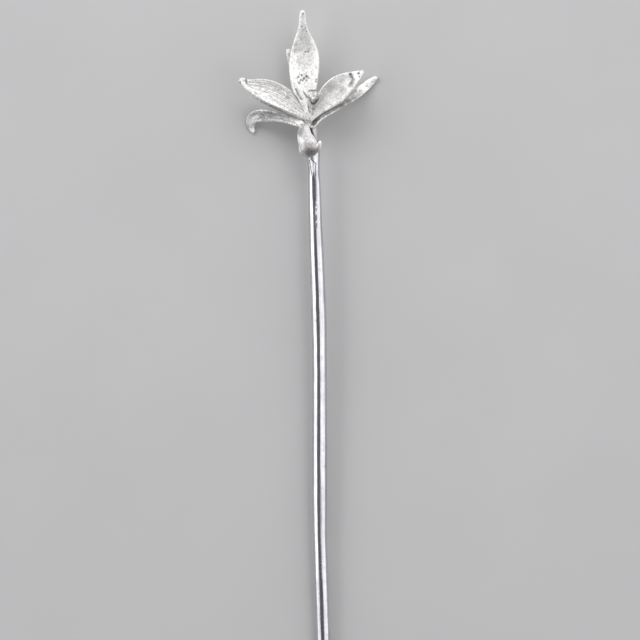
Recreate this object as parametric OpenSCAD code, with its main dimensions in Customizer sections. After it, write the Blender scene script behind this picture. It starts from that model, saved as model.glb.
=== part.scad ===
// Orchid hairpin: a forged silver rod with a flower of formed sheet.
// Units are millimetres. The pin lies on its back on the surface z = 0, with its length
// along Y, the flower's top towards +Y and the flower's face towards +Z.

/* [Pin] */
// Length of the whole hairpin, from the point to the dorsal sepal's tip
overall_len = 166; // [150:1:180]
// Diameter of the rod's straight lower run
rod_d = 3.0; // [2.6:0.1:3.4]
// Length of the taper above the point
taper_len = 18; // [12:1:24]
// Diameter where the taper meets the rounded point
point_d = 1.7; // [1.2:0.1:2.2]
// Angle in degrees at which the lower run drifts to the right, seen from the front
drift_deg = 1.9; // [0:0.1:3]
// Angle in degrees by which the rod rises towards the flower when the pin lies down
rise_deg = 1.7; // [1.4:0.1:2]

/* [Sheath] */
// Outer diameter of the sleeve at the rod's top
sheath_d = 3.2; // [3:0.05:3.4]
// Wall of the sleeve
sheath_wall = 0.3; // [0.25:0.05:0.35]

/* [Flower] */
// Thickness of the sheet, as a share of each table's own thickness
sheet_scale = 1; // [0.8:0.05:1.1]
// Diameter of the stalk's flat head under the sepals
head_d = 3.2; // [2.8:0.1:3.4]
// Height of the stalk's flat head above the surface
head_z = 5.35; // [5.3:0.05:5.4]

/* [Quality] */
// Stations between two rows of a table
steps = 3; // [2:1:4]
// Sides of the forged rod
rod_sides = 16; // [12:2:24]

/* [Hidden] */

silver_bright = "#e9ebee";
silver_frost = "#dddcda";
silver_grey = "#bcb9b6";

flower_top = 23.5;             // dorsal sepal's tip above the flower's centre
flower_mid_x = -0.2;           // middle of the flower's width, from its centre

// The frame's origin: under the middle of the whole hairpin
frame_shift = [-flower_mid_x, overall_len / 2 - flower_top, 0];

point_y = flower_top - overall_len;      // the rod's lowest end
taper_y = point_y + taper_len;           // where the straight run ends and rests
forged_end_y = -92;                      // where the bent run ends inside the straight one
straight_top = [2.17, -91];              // x and y where the straight run starts

// Sleeve: its upper end, the ends of its slanting lower rim, and how it lies on the rod
sheath_top_y = -6.3;
sheath_left_y = -7.9;
sheath_right_y = -10.4;
sheath_x = 0.74;
sheath_drift_deg = 2.4;

// Columns of the rod's table
ROD_Y = 0;
ROD_X = 1;
ROD_D = 2;
// Rod: y, x, diameter
rod_rows = [
    [ -7.4, 0.69, 2.40],
    [-10.4, 0.82, 2.46],
    [-11.6, 0.86, 2.64],
    [-17.0, 1.03, 2.82],
    [-23.0, 1.20, 2.95],
    [-30.0, 1.45, 3.14],
    [-38.0, 1.75, 3.24],
    [-43.0, 1.90, 3.30],
    [-50.0, 1.99, 3.20],
    [-60.0, 2.05, 3.15],
    [-71.0, 2.05, 3.24],
    [-82.0, 2.06, 3.22],
    [-87.0, 2.08, 3.08],
    [-90.5, 2.15, 2.92],
    [forged_end_y, 2.20, 2.84]];

// Columns of a leaf's table. A leaf runs from its root to its tip. Left and right are the
// widths on either side of its vein, looking from root to tip. Tilt is the rise for each
// millimetre towards the left, and cup is the rise of the edges above the vein.
X = 0;
Y = 1;
Z = 2;
LEFT = 3;
RIGHT = 4;
TILT = 5;
CUP = 6;
THICK = 7;

// Dorsal sepal: x, y, z, left, right, tilt, cup, thickness
dorsal_rows = [
    [-0.15,  0.8, 5.78, 0.60, 0.60,  0.00, 0.05, 0.65],
    [-0.45,  3.0, 5.70, 1.20, 1.20,  0.00, 0.15, 0.75],
    [-1.10,  6.3, 5.20, 2.50, 2.55, -0.02, 0.60, 0.80],
    [-1.25,  9.5, 4.95, 3.10, 3.05, -0.04, 0.90, 0.80],
    [-1.20, 12.1, 4.95, 3.25, 3.25, -0.05, 1.00, 0.80],
    [-1.15, 14.8, 5.25, 2.90, 2.90, -0.05, 0.80, 0.75],
    [-1.35, 17.0, 5.70, 2.12, 2.12, -0.05, 0.50, 0.75],
    [-1.50, 19.0, 6.15, 1.25, 1.20,  0.00, 0.25, 0.75],
    [-1.60, 20.8, 6.50, 0.75, 0.75,  0.00, 0.08, 0.80],
    [-1.62, 22.5, 6.65, 0.65, 0.65,  0.00, 0.00, 0.95],
    [-1.55, flower_top, 6.62, 0.33, 0.33, 0.00, 0.00, 0.50]];

// Lobe behind the dorsal sepal's left edge
lobe_rows = [
    [-3.60,  9.6, 4.52, 0.30, 0.30,  0.00, 0.00, 0.45],
    [-4.05, 12.0, 4.55, 0.50, 0.50, -0.10, 0.00, 0.55],
    [-4.50, 14.0, 4.75, 0.55, 0.55, -0.15, 0.00, 0.55],
    [-4.72, 15.3, 4.95, 0.40, 0.40, -0.15, 0.00, 0.45]];

// Left petal
left_petal_rows = [
    [ -0.55, 0.75, 6.68, 0.65, 0.65, 0.00, 0.05, 0.65],
    [ -1.95, 1.90, 6.90, 1.30, 1.35, 0.10, 0.25, 0.75],
    [ -4.10, 3.60, 7.25, 1.85, 1.98, 0.20, 0.55, 0.80],
    [ -6.60, 5.20, 7.65, 2.22, 2.28, 0.25, 0.80, 0.80],
    [ -9.30, 6.35, 8.00, 2.18, 2.25, 0.25, 0.80, 0.80],
    [-11.20, 6.90, 8.20, 1.83, 1.90, 0.20, 0.60, 0.75],
    [-12.70, 7.30, 8.25, 1.38, 1.38, 0.10, 0.35, 0.75],
    [-13.75, 7.85, 8.20, 1.00, 0.95, 0.00, 0.15, 0.80],
    [-14.45, 8.50, 8.05, 0.62, 0.62, 0.00, 0.00, 0.90],
    [-14.90, 9.00, 7.95, 0.35, 0.35, 0.00, 0.00, 0.60]];

// Right petal
right_petal_rows = [
    [ 0.75,  0.60, 6.68, 0.62, 0.70, 0.00, 0.05, 0.65],
    [ 1.60,  2.20, 6.95, 1.15, 1.30, 0.05, 0.25, 0.75],
    [ 3.20,  4.10, 7.50, 2.20, 2.20, 0.10, 0.70, 0.80],
    [ 5.20,  6.00, 8.10, 2.75, 2.75, 0.10, 0.95, 0.80],
    [ 6.85,  7.45, 8.50, 2.60, 2.60, 0.08, 0.85, 0.80],
    [ 8.40,  8.50, 8.65, 1.95, 1.95, 0.05, 0.60, 0.75],
    [ 9.65,  9.30, 8.55, 1.30, 1.30, 0.00, 0.35, 0.75],
    [10.55, 10.00, 8.25, 0.85, 0.80, 0.00, 0.15, 0.80],
    [11.25, 10.40, 7.85, 0.55, 0.50, 0.00, 0.00, 0.85],
    [11.60, 10.45, 7.60, 0.30, 0.30, 0.00, 0.00, 0.55]];

// Left sepal, with its hooked end
left_sepal_rows = [
    [ -1.58, -0.80, 5.78, 0.60, 0.60,  0.00, 0.05, 0.60],
    [ -2.40, -0.75, 5.70, 0.78, 0.78, -0.10, 0.05, 0.65],
    [ -3.80, -0.15, 5.35, 0.85, 0.85, -0.30, 0.10, 0.70],
    [ -5.70,  0.50, 4.65, 0.95, 0.95, -0.40, 0.15, 0.75],
    [ -7.45,  0.90, 3.85, 1.08, 1.08, -0.45, 0.20, 0.75],
    [ -9.45,  1.15, 2.85, 1.28, 1.25, -0.45, 0.25, 0.75],
    [-11.00,  1.05, 2.05, 1.28, 1.33, -0.40, 0.25, 0.75],
    [-12.10,  0.55, 1.40, 1.05, 1.40, -0.30, 0.20, 0.75],
    [-12.70, -0.40, 0.95, 0.95, 1.15, -0.15, 0.15, 0.75],
    [-12.65, -1.60, 0.42, 0.65, 0.70,  0.00, 0.08, 0.75],
    [-12.10, -2.60, 0.42, 0.32, 0.32,  0.00, 0.00, 0.60]];

// Right sepal
right_sepal_rows = [
    [ 0.75, -1.15, 5.78, 0.60, 0.60,  0.00, 0.05, 0.60],
    [ 1.50,  0.00, 5.82, 0.75, 0.85, -0.05, 0.15, 0.70],
    [ 2.45,  1.00, 5.55, 1.05, 0.90, -0.10, 0.30, 0.75],
    [ 4.00,  2.10, 4.90, 1.25, 1.00, -0.15, 0.45, 0.75],
    [ 6.75,  3.85, 3.60, 1.40, 1.15, -0.15, 0.55, 0.75],
    [ 8.70,  4.95, 2.55, 1.25, 1.15, -0.15, 0.50, 0.75],
    [10.70,  6.20, 1.45, 1.05, 1.00, -0.10, 0.35, 0.75],
    [12.15,  7.50, 0.75, 0.95, 0.92, -0.05, 0.20, 0.75],
    [13.35,  8.55, 0.42, 0.76, 0.76,  0.00, 0.10, 0.75],
    [14.15,  9.15, 0.44, 0.54, 0.54,  0.00, 0.00, 0.80],
    [14.63,  9.47, 0.52, 0.30, 0.30,  0.00, 0.00, 0.60]];

// Column: its cup is a fold, see fold_power
column_rows = [
    [-0.25, 1.35, 7.55, 0.50, 0.50, 0.00, 0.15, 0.45],
    [-0.60, 2.60, 7.65, 0.62, 0.62, 0.00, 0.30, 0.50],
    [-1.25, 4.40, 7.85, 0.75, 0.78, 0.00, 0.45, 0.50],
    [-2.25, 6.20, 8.00, 0.85, 0.85, 0.00, 0.50, 0.50],
    [-3.05, 7.60, 8.00, 0.72, 0.72, 0.00, 0.35, 0.50],
    [-3.50, 8.60, 7.90, 0.40, 0.40, 0.00, 0.15, 0.45]];

// Anther cap, a small lobe on a narrow foot, domed towards the viewer
anther_rows = [
    [0.66, 1.60, 7.85, 0.22, 0.22, 0.00, -0.05, 0.45],
    [0.58, 2.80, 8.40, 0.26, 0.28, 0.00, -0.10, 0.45],
    [0.58, 3.90, 8.92, 0.58, 0.50, 0.00, -0.20, 0.50],
    [0.86, 4.70, 9.00, 0.76, 0.68, 0.00, -0.35, 0.50],
    [1.18, 5.25, 8.78, 0.40, 0.38, 0.00, -0.15, 0.45]];

// Lip: domed towards the viewer, then curling round to the right
lip_rows = [
    [-0.50, -0.80, 5.85, 0.50, 0.50, 0.00, -0.05, 0.60],
    [-1.15, -2.00, 7.85, 1.32, 1.35, 0.00, -0.60, 0.65],
    [-1.25, -3.70, 9.30, 1.75, 1.75, 0.00, -1.30, 0.70],
    [-0.95, -5.10, 9.70, 1.90, 1.80, 0.00, -1.50, 0.70],
    [-0.25, -6.30, 9.30, 1.25, 1.60, 0.00, -1.10, 0.70],
    [ 0.80, -6.70, 8.75, 0.85, 1.00, 0.00, -0.50, 0.65],
    [ 1.65, -6.25, 8.60, 0.60, 0.70, 0.00, -0.15, 0.60],
    [ 2.08, -5.40, 8.85, 0.46, 0.46, 0.00,  0.00, 0.60],
    [ 2.12, -4.55, 9.25, 0.22, 0.22, 0.00,  0.00, 0.45]];

// Foot of the stalk's head
head_x = 0.1;
head_base_z = 3;
head_base_d = 2.2;
stalk_sides = 12;

// Stalk: x, y, z, diameter
STALK_D = 3;
stalk_rows = [
    [0.68, -7.2, 4.95, 2.30],
    [0.64, -5.4, 4.80, 2.10],
    [0.56, -3.4, 4.45, 2.00],
    [0.38, -1.5, 4.10, 2.00],
    [0.20,  0.1, 4.10, 1.60]];

// Shape of a leaf's section: places across it from -1 to 1, and its share of the thickness
across = [-1, -0.86, -0.5, 0, 0.5, 0.86, 1];
edge_share = 0.55;
cup_power = 2;
fold_power = 1.15;

// Catmull-Rom curve through a table's rows, at row number s
function row_at(rows, s) =
    let (last = len(rows) - 1,
         i = min(floor(s), last - 1),
         t = s - i,
         a = rows[max(i - 1, 0)],
         b = rows[i],
         c = rows[i + 1],
         d = rows[min(i + 2, last)])
    0.5 * (2 * b + (c - a) * t + (2 * a - 5 * b + 4 * c - d) * t ^ 2
           + (3 * b - a - 3 * c + d) * t ^ 3);

function place(row) = [row[X], row[Y], row[Z]];
function unit(v) = v / norm(v);

// Direction of travel at row number s
function heading(rows, s) =
    let (last = len(rows) - 1, reach = 0.05)
    unit(place(row_at(rows, min(s + reach, last))) - place(row_at(rows, max(s - reach, 0))));

// Thickness across a leaf: full at the vein, edge_share of it at the rim
function sheet(row, u) = sheet_scale * row[THICK] * (1 - (1 - edge_share) * abs(u) ^ 3);

// One station: its back face from right to left, then its front face the same way
function station(rows, s, power) =
    let (row = row_at(rows, s),
         go = heading(rows, s),
         left = unit([-go[Y], go[X], 0]))
    [for (side = [-1, 1], u = across)
        let (w = u * (u > 0 ? row[LEFT] : row[RIGHT]),
             mid = place(row) + left * w + [0, 0, row[TILT] * w + row[CUP] * abs(u) ^ power],
             wide = u > 0 ? row[LEFT] : row[RIGHT],
             bend = u == 0 ? 0 : sign(u) * row[CUP] * power * abs(u) ^ (power - 1),
             along = left * wide + [0, 0, row[TILT] * wide + bend],
             face = unit(cross(go, along)))
        mid + face * side * sheet(row, u) / 2];

// A leaf of sheet metal, lofted through its table
module leaf(rows, power = cup_power) {
    n = len(across);
    last = (len(rows) - 1) * steps;
    points = [for (k = [0:last]) each station(rows, k / steps, power)];
    function at(k, side, i) = (k * 2 + side) * n + i;
    back = [for (k = [0:last - 1], i = [0:n - 2])
        each two(at(k, 0, i), at(k + 1, 0, i), at(k + 1, 0, i + 1), at(k, 0, i + 1))];
    front = [for (k = [0:last - 1], i = [0:n - 2])
        each two(at(k, 1, i), at(k, 1, i + 1), at(k + 1, 1, i + 1), at(k + 1, 1, i))];
    right_rim = [for (k = [0:last - 1])
        each two(at(k, 0, 0), at(k, 1, 0), at(k + 1, 1, 0), at(k + 1, 0, 0))];
    left_rim = [for (k = [0:last - 1])
        each two(at(k, 0, n - 1), at(k + 1, 0, n - 1), at(k + 1, 1, n - 1), at(k, 1, n - 1))];
    root = [for (i = [0:n - 2])
        each two(at(0, 0, i), at(0, 0, i + 1), at(0, 1, i + 1), at(0, 1, i))];
    tip = [for (i = [0:n - 2])
        each two(at(last, 0, i), at(last, 1, i), at(last, 1, i + 1), at(last, 0, i + 1))];
    polyhedron(points, concat(back, front, right_rim, left_rim, root, tip));
}

// A quad as two triangles
function two(a, b, c, d) = [[a, b, c], [a, c, d]];

// A round bar swept through places with diameters
module bar(places, sizes, sides) {
    last = len(places) - 1;
    function way(k) = unit(places[min(k + 1, last)] - places[max(k - 1, 0)]);
    points = [for (k = [0:last])
        let (go = way(k),
             flat = unit(cross(go, [0, 0, 1])),
             up = cross(flat, go))
        for (j = [0:sides - 1])
            let (a = 360 * (j + 0.5) / sides)
            places[k] + sizes[k] / 2 * (up * sin(a) - flat * cos(a))];
    walls = [for (k = [0:last - 1], j = [0:sides - 1])
        let (n = (j + 1) % sides)
        each two(k * sides + j, (k + 1) * sides + j, (k + 1) * sides + n, k * sides + n)];
    polyhedron(points, concat(walls, [[for (j = [0:sides - 1]) j]],
        [[for (j = [sides - 1:-1:0]) last * sides + j]]));
}

// Height of the rod's axis above the surface at y
function rod_z(y) = rod_d / 2 / cos(rise_deg) + tan(rise_deg) * (y - taper_y);

// Forged, gently bent run of the rod
module forged_run() {
    last = (len(rod_rows) - 1) * steps;
    runs = [for (k = [0:last]) row_at(rod_rows, k / steps)];
    bar([for (r = runs) [r[ROD_X], r[ROD_Y], rod_z(r[ROD_Y])]],
        [for (r = runs) r[ROD_D]], rod_sides);
}

// Straight run with its taper and rounded point, turned about its own axis
module straight_run() {
    run = (straight_top[1] - point_y) / cos(rise_deg) / cos(drift_deg);
    straight = run - taper_len;
    nose = point_d / 2;
    nose_arc = [for (a = [0:15:90]) [nose * cos(a), run - nose + nose * sin(a)]];
    translate([straight_top[0], straight_top[1], rod_z(straight_top[1])])
        rotate([0, 0, drift_deg])
        rotate([90 + rise_deg, 0, 0])
        rotate_extrude($fn = 48)
        polygon(concat([[0, 0], [rod_d / 2, 0], [rod_d / 2, straight]], nose_arc));
}

module pin_shaft() {
    color(silver_bright)
    translate(frame_shift)
    union() {
        forged_run();
        straight_run();
    }
}

// Sleeve over the joint of rod and stalk, its lower end cut slantwise
module sheath() {
    middle = (sheath_left_y + sheath_right_y) / 2;
    slant = atan((sheath_left_y - sheath_right_y) / sheath_d);
    reach = 2 * sheath_d;
    color(silver_bright)
    translate(frame_shift)
    translate([sheath_x, middle, rod_z(middle)])
    rotate([0, 0, sheath_drift_deg])
    rotate([-90 + rise_deg, 0, 0])
    difference() {
        translate([0, 0, -reach])
            cylinder(d = sheath_d, h = reach + sheath_top_y - middle, $fn = 48);
        translate([0, 0, -reach - 1])
            cylinder(d = sheath_d - 2 * sheath_wall, h = 2 * reach + 2, $fn = 48);
        rotate([0, slant, 0])
            translate([-reach, -reach, -2 * reach])
            cube(2 * reach);
    }
}

// Stalk with the flat head that carries the flower
module pedicel() {
    last = (len(stalk_rows) - 1) * steps;
    runs = [for (k = [0:last]) row_at(stalk_rows, k / steps)];
    color(silver_frost)
    translate(frame_shift)
    union() {
        bar([for (r = runs) place(r)], [for (r = runs) r[STALK_D]], stalk_sides);
        translate([head_x, 0, head_base_z])
            cylinder(d1 = head_base_d, d2 = head_d, h = head_z - head_base_z, $fn = 48);
    }
}

module dorsal_sepal() {
    color(silver_frost) translate(frame_shift) leaf(dorsal_rows);
}

module sepal_lobe() {
    color(silver_grey) translate(frame_shift) leaf(lobe_rows);
}

module left_petal() {
    color(silver_frost) translate(frame_shift) leaf(left_petal_rows);
}

module right_petal() {
    color(silver_frost) translate(frame_shift) leaf(right_petal_rows);
}

module left_sepal() {
    color(silver_grey) translate(frame_shift) leaf(left_sepal_rows);
}

module right_sepal() {
    color(silver_frost) translate(frame_shift) leaf(right_sepal_rows);
}

module column() {
    color(silver_frost) translate(frame_shift) leaf(column_rows, fold_power);
}

module anther_cap() {
    color(silver_frost) translate(frame_shift) leaf(anther_rows);
}

module lip() {
    color(silver_frost) translate(frame_shift) leaf(lip_rows);
}

pin_shaft();
sheath();
pedicel();
dorsal_sepal();
sepal_lobe();
left_petal();
right_petal();
left_sepal();
right_sepal();
column();
anther_cap();
lip();
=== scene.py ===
import math
import random

import bmesh
import bpy
from mathutils import Matrix, Vector
from mathutils.bvhtree import BVHTree


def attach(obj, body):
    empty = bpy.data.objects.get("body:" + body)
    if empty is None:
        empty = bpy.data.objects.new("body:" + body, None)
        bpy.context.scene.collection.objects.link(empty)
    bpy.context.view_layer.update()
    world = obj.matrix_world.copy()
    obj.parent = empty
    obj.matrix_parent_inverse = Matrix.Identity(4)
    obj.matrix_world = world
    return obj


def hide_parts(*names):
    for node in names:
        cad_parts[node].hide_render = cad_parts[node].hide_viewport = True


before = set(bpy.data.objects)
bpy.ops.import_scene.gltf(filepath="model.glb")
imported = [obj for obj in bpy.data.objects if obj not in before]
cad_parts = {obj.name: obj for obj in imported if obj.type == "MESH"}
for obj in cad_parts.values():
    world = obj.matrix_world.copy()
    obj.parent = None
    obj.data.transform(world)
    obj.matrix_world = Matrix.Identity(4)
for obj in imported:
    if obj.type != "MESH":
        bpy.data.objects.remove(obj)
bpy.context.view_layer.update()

print("frame loaded")

scene = bpy.context.scene
mm = 0.001
# the flower's centre in the row frame, in mm; every table below is measured from it
flower = {"x": 0.2, "y": 59.5, "top": 23.5}


# Tools of the bench: tables, selections and turns

# a smooth curve through the rows of a table
def rowAt(rows, place):
    last = len(rows) - 1
    i = min(int(place), last - 1)
    t = place - i
    a, b, c, d = rows[max(i - 1, 0)], rows[i], rows[i + 1], rows[min(i + 2, last)]
    return [0.5 * (2 * q + (r - p) * t + (2 * p - 5 * q + 4 * r - s) * t ** 2
                   + (3 * q - p - 3 * r + s) * t ** 3)
            for p, q, r, s in zip(a, b, c, d)]


def stationsOf(rows, parts):
    return [rowAt(rows, k / parts) for k in range(parts * (len(rows) - 1) + 1)]


def choose(obj):
    bpy.ops.object.select_all(action="DESELECT")
    obj.select_set(True)
    bpy.context.view_layer.objects.active = obj


def edit(obj):
    choose(obj)
    bpy.ops.object.mode_set(mode="EDIT")


def done():
    bpy.ops.object.mode_set(mode="OBJECT")


def pick(obj, wanted):
    mesh = bmesh.from_edit_mesh(obj.data)
    for vert in mesh.verts:
        vert.select = wanted(vert)
    mesh.select_flush_mode()
    bmesh.update_edit_mesh(obj.data)


def pickAll():
    bpy.ops.mesh.select_all(action="SELECT")


def move(x, y, z):
    bpy.ops.transform.translate(value=(x, y, z))


def stretch(x, y, z, centre):
    bpy.ops.transform.resize(value=(x, y, z), center_override=centre)


def turn(angle, axis, centre):
    # with no window the operator turns the other way, hence the sign
    bpy.ops.transform.rotate(value=-angle, orient_axis=axis, center_override=centre)


def nearest(points, x, y):
    return min(points, key=lambda vert: (vert.co.x - x) ** 2 + (vert.co.y - y) ** 2).index


# one point is drawn along, and its neighbours follow it less and less
def pull(obj, index, push, reach):
    edit(obj)
    pick(obj, lambda vert: vert.index == index)
    bpy.ops.transform.translate(value=push, use_proportional_edit=True,
                                proportional_edit_falloff="SMOOTH", proportional_size=reach)
    done()


# a push with a round punch: x, y, radius and depth in mm
def punch(obj, dents):
    for x, y, radius, depth in dents:
        front = (vert for vert in obj.data.vertices if vert.normal.z > 0.2)
        pull(obj, nearest(front, x, y), (0, 0, -depth), radius)


def finish(obj, kind, **settings):
    tool = obj.modifiers.new(kind.lower(), kind)
    for key, value in settings.items():
        setattr(tool, key, value)
    bpy.context.view_layer.objects.active = obj
    bpy.ops.object.modifier_apply(modifier=tool.name)


def smoothOut(obj, levels):
    finish(obj, "SUBSURF", levels=levels, render_levels=levels)


# slow unevenness of hand-beaten metal, as real relief
def planish(obj, size, depth, seed):
    texture = bpy.data.textures.new(obj.name + "Planish", "CLOUDS")
    texture.noise_scale = size
    texture.noise_depth = 1
    anchor = bpy.data.objects.new(obj.name + "Anchor", None)
    scene.collection.objects.link(anchor)
    anchor.location = (seed * 7.3, seed * 3.1, seed * 5.7)
    bpy.context.view_layer.update()
    finish(obj, "DISPLACE", texture=texture, texture_coords="OBJECT", texture_coords_object=anchor,
           strength=depth, mid_level=0.5)
    bpy.data.objects.remove(anchor)


# how far x, y lies from a line of points
def awayFrom(x, y, points):
    best = math.inf
    for (x0, y0), (x1, y1) in zip(points, points[1:]):
        run = (x1 - x0) ** 2 + (y1 - y0) ** 2
        share = min(1, max(0, ((x - x0) * (x1 - x0) + (y - y0) * (y1 - y0)) / run))
        best = min(best, math.hypot(x - x0 - share * (x1 - x0), y - y0 - share * (y1 - y0)))
    return best


# painted light and stains, kept on the mesh as tone, in mm round the flower: spots are x, y, radius,
# strength, and strokes are a line of points, its half width and strength; above zero a mark darkens, for
# stains and painted shade, below zero it is a painted highlight
def paintedLightAndStain(obj, spots, strokes):
    layer = obj.data.attributes.new("paintedLightAndStain", "FLOAT", "POINT")
    dot = 0.001  # a spot is a stroke as short as this
    marks = [(((x, y), (x + dot, y)), radius, strength) for x, y, radius, strength in spots]
    marks.extend(strokes)
    for vert in obj.data.vertices:
        # dark gathers stains and painted shade, the other the painted highlights
        dark, highlight = 0, 0
        for points, radius, strength in marks:
            away = awayFrom(vert.co.x, vert.co.y, points) / radius
            if away < 1:
                tone = strength * (1 - away * away) ** 2
                dark = max(dark, tone)
                highlight = min(highlight, tone)
        layer.data[vert.index].value = dark + highlight


pieces = []


def seat(obj, node, material):
    # from millimetres round the flower to metres in the row frame
    obj.scale = (mm, mm, mm)
    obj.location = (flower["x"] * mm, flower["y"] * mm, 0)
    choose(obj)
    bpy.ops.object.transform_apply()
    bpy.ops.object.shade_smooth()
    obj.data.materials.append(material)
    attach(obj, "root")
    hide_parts(node)
    pieces.append(obj)
    print(obj.name, len(obj.data.polygons), "faces")


# lengths in metres; each ring of rays has its angle from the surface's normal and their number
recess = {"reach": 0.0013, "lift": 0.00004, "nearest": 0.00012, "fade": 0.6,
          "rings": [(0, 1), (35, 4), (65, 6)]}


# how far each point lies in a recess between the pieces, for the painted shade darkening the recesses
def findHollows():
    points, faces, owners = [], [], []
    for obj in pieces:
        first = len(points)
        owners.extend([obj.name.split(".")[0]] * len(obj.data.polygons))
        points.extend(vert.co.copy() for vert in obj.data.vertices)
        faces.extend([first + index for index in face.vertices] for face in obj.data.polygons)
    tree = BVHTree.FromPolygons(points, faces)
    rays = []
    for angle, count in recess["rings"]:
        out = math.sin(math.radians(angle))
        for k in range(count):
            spin = 2 * math.pi * (k + 0.5) / count
            rays.append((out * math.cos(spin), out * math.sin(spin), math.cos(math.radians(angle))))
    for obj in pieces:
        # the sleeve fits closely and would darken the rod inside it
        spared = "sheath" if obj.name == "pinShaft" else None
        layer = obj.data.attributes.new("hollow", "FLOAT", "POINT")
        for vert in obj.data.vertices:
            up = vert.normal
            side = up.orthogonal().normalized()
            across = up.cross(side)
            start = vert.co + up * recess["lift"]
            shut = 0
            for x, y, z in rays:
                hit = tree.ray_cast(start, side * x + across * y + up * z, recess["reach"])
                if hit[3] is not None and hit[3] > recess["nearest"] and owners[hit[2]] != spared:
                    shut += 1 - recess["fade"] * hit[3] / recess["reach"]
            layer.data[vert.index].value = shut / len(rays)
    print("recesses found")


# Silver finishes

def addNode(tree, kind, **settings):
    node = tree.nodes.new(kind)
    for key, value in settings.items():
        if key in node.inputs:
            node.inputs[key].default_value = value
        else:
            setattr(node, key, value)
    return node


# numbers and colours are set on a socket, and anything else is linked to it
def feed(tree, socket, value):
    if isinstance(value, (int, float)):
        socket.default_value = value
    elif isinstance(value, tuple):
        socket.default_value = (*value, 1.0)
    else:
        tree.links.new(value, socket)


def mathNode(tree, operation, first, second=None, clamp=False):
    node = addNode(tree, "ShaderNodeMath", operation=operation, use_clamp=clamp)
    feed(tree, node.inputs[0], first)
    if second is not None:
        feed(tree, node.inputs[1], second)
    return node.outputs[0]


def plus(tree, first, second, clamp=False):
    return mathNode(tree, "ADD", first, second, clamp)


def minus(tree, first, second):
    return mathNode(tree, "SUBTRACT", first, second)


def times(tree, first, second, clamp=False):
    return mathNode(tree, "MULTIPLY", first, second, clamp)


def span(tree, value, low, high, toLow=0.0, toHigh=1.0):
    limits = {"From Min": low, "From Max": high, "To Min": toLow, "To Max": toHigh}
    node = addNode(tree, "ShaderNodeMapRange", interpolation_type="SMOOTHSTEP", **limits)
    tree.links.new(value, node.inputs["Value"])
    return node.outputs[0]


def noiseOn(tree, vector, scale, detail, rough):
    node = addNode(tree, "ShaderNodeTexNoise", Detail=detail, Roughness=rough)
    feed(tree, node.inputs["Scale"], scale)
    tree.links.new(vector, node.inputs["Vector"])
    return node.outputs["Fac"]


def attributeOn(tree, name):
    return addNode(tree, "ShaderNodeAttribute", attribute_name=name).outputs["Fac"]


def splitVector(tree, vector):
    node = tree.nodes.new("ShaderNodeSeparateXYZ")
    tree.links.new(vector, node.inputs[0])
    return node.outputs


def mixColour(tree, share, first, second):
    node = addNode(tree, "ShaderNodeMix", data_type="RGBA")
    tree.links.new(share, node.inputs[0])
    feed(tree, node.inputs[6], first)
    feed(tree, node.inputs[7], second)
    return node.outputs[2]


# a node group that takes a vector and settings, and gives results, all as named sockets
def newGroup(name, settings, results):
    group = bpy.data.node_groups.new(name, "ShaderNodeTree")
    sockets = group.interface
    sockets.new_socket(name="Vector", in_out="INPUT", socket_type="NodeSocketVector")
    for label, value in settings.items():
        socket = sockets.new_socket(name=label, in_out="INPUT", socket_type="NodeSocketFloat")
        socket.default_value = value
    for label in results:
        sockets.new_socket(name=label, in_out="OUTPUT", socket_type="NodeSocketFloat")
    given = group.nodes.new("NodeGroupInput").outputs
    return group, given, group.nodes.new("NodeGroupOutput").inputs


# brush strokes: fine lines that follow a direction, out of stretched noise
def brushGroup():
    group, given, result = newGroup("brushMarks", {"Across": 60.0, "Along": 2.0},
                                    ["Lines", "Streaks", "Veins"])
    split = splitVector(group, given["Vector"])
    join = group.nodes.new("ShaderNodeCombineXYZ")
    for axis, scale in (("X", "Across"), ("Y", "Along"), ("Z", "Across")):
        group.links.new(times(group, split[axis], given[scale]), join.inputs[axis])
    middle = noiseOn(group, join.outputs[0], 0.55, 2.0, 0.6)
    broad = noiseOn(group, join.outputs[0], 0.22, 2.0, 0.5)
    group.links.new(noiseOn(group, join.outputs[0], 1.0, 4.0, 0.65), result["Lines"])
    group.links.new(span(group, middle, 0.46, 0.60), result["Streaks"])
    group.links.new(span(group, broad, 0.36, 0.62), result["Veins"])
    return group


# frosting: tiny crystals, and slow clouds where the bath took better or worse
def frostGroup():
    group, given, result = newGroup("frost", {"Grain": 5200.0, "Cloud": 420.0},
                                    ["Grain", "Cloud", "Specks"])
    where = given["Vector"]
    group.links.new(noiseOn(group, where, given["Grain"], 3.0, 0.6), result["Grain"])
    group.links.new(noiseOn(group, where, given["Cloud"], 4.0, 0.6), result["Cloud"])
    specks = noiseOn(group, where, times(group, given["Cloud"], 4.0), 2.0, 0.5)
    group.links.new(span(group, specks, 0.62, 0.72), result["Specks"])
    return group


# rim: how near a point of a leaf lies to its edge, from the leaf's own map
def rimGroup():
    group, given, result = newGroup("rim", {"Width": 0.06}, ["Rim"])
    across = splitVector(group, given["Vector"])["X"]
    inside = minus(group, 0.5, mathNode(group, "ABSOLUTE", minus(group, across, 0.5)))
    share = mathNode(group, "DIVIDE", inside, given["Width"])
    group.links.new(span(group, share, 0.55, 1.25, 1.0, 0.0), result["Rim"])
    return group


groups = {"brush": brushGroup(), "frost": frostGroup(), "rim": rimGroup()}


def groupOn(tree, name, vector, **settings):
    node = addNode(tree, "ShaderNodeGroup", node_tree=groups[name], **settings)
    tree.links.new(vector, node.inputs["Vector"])
    return node.outputs
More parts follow.
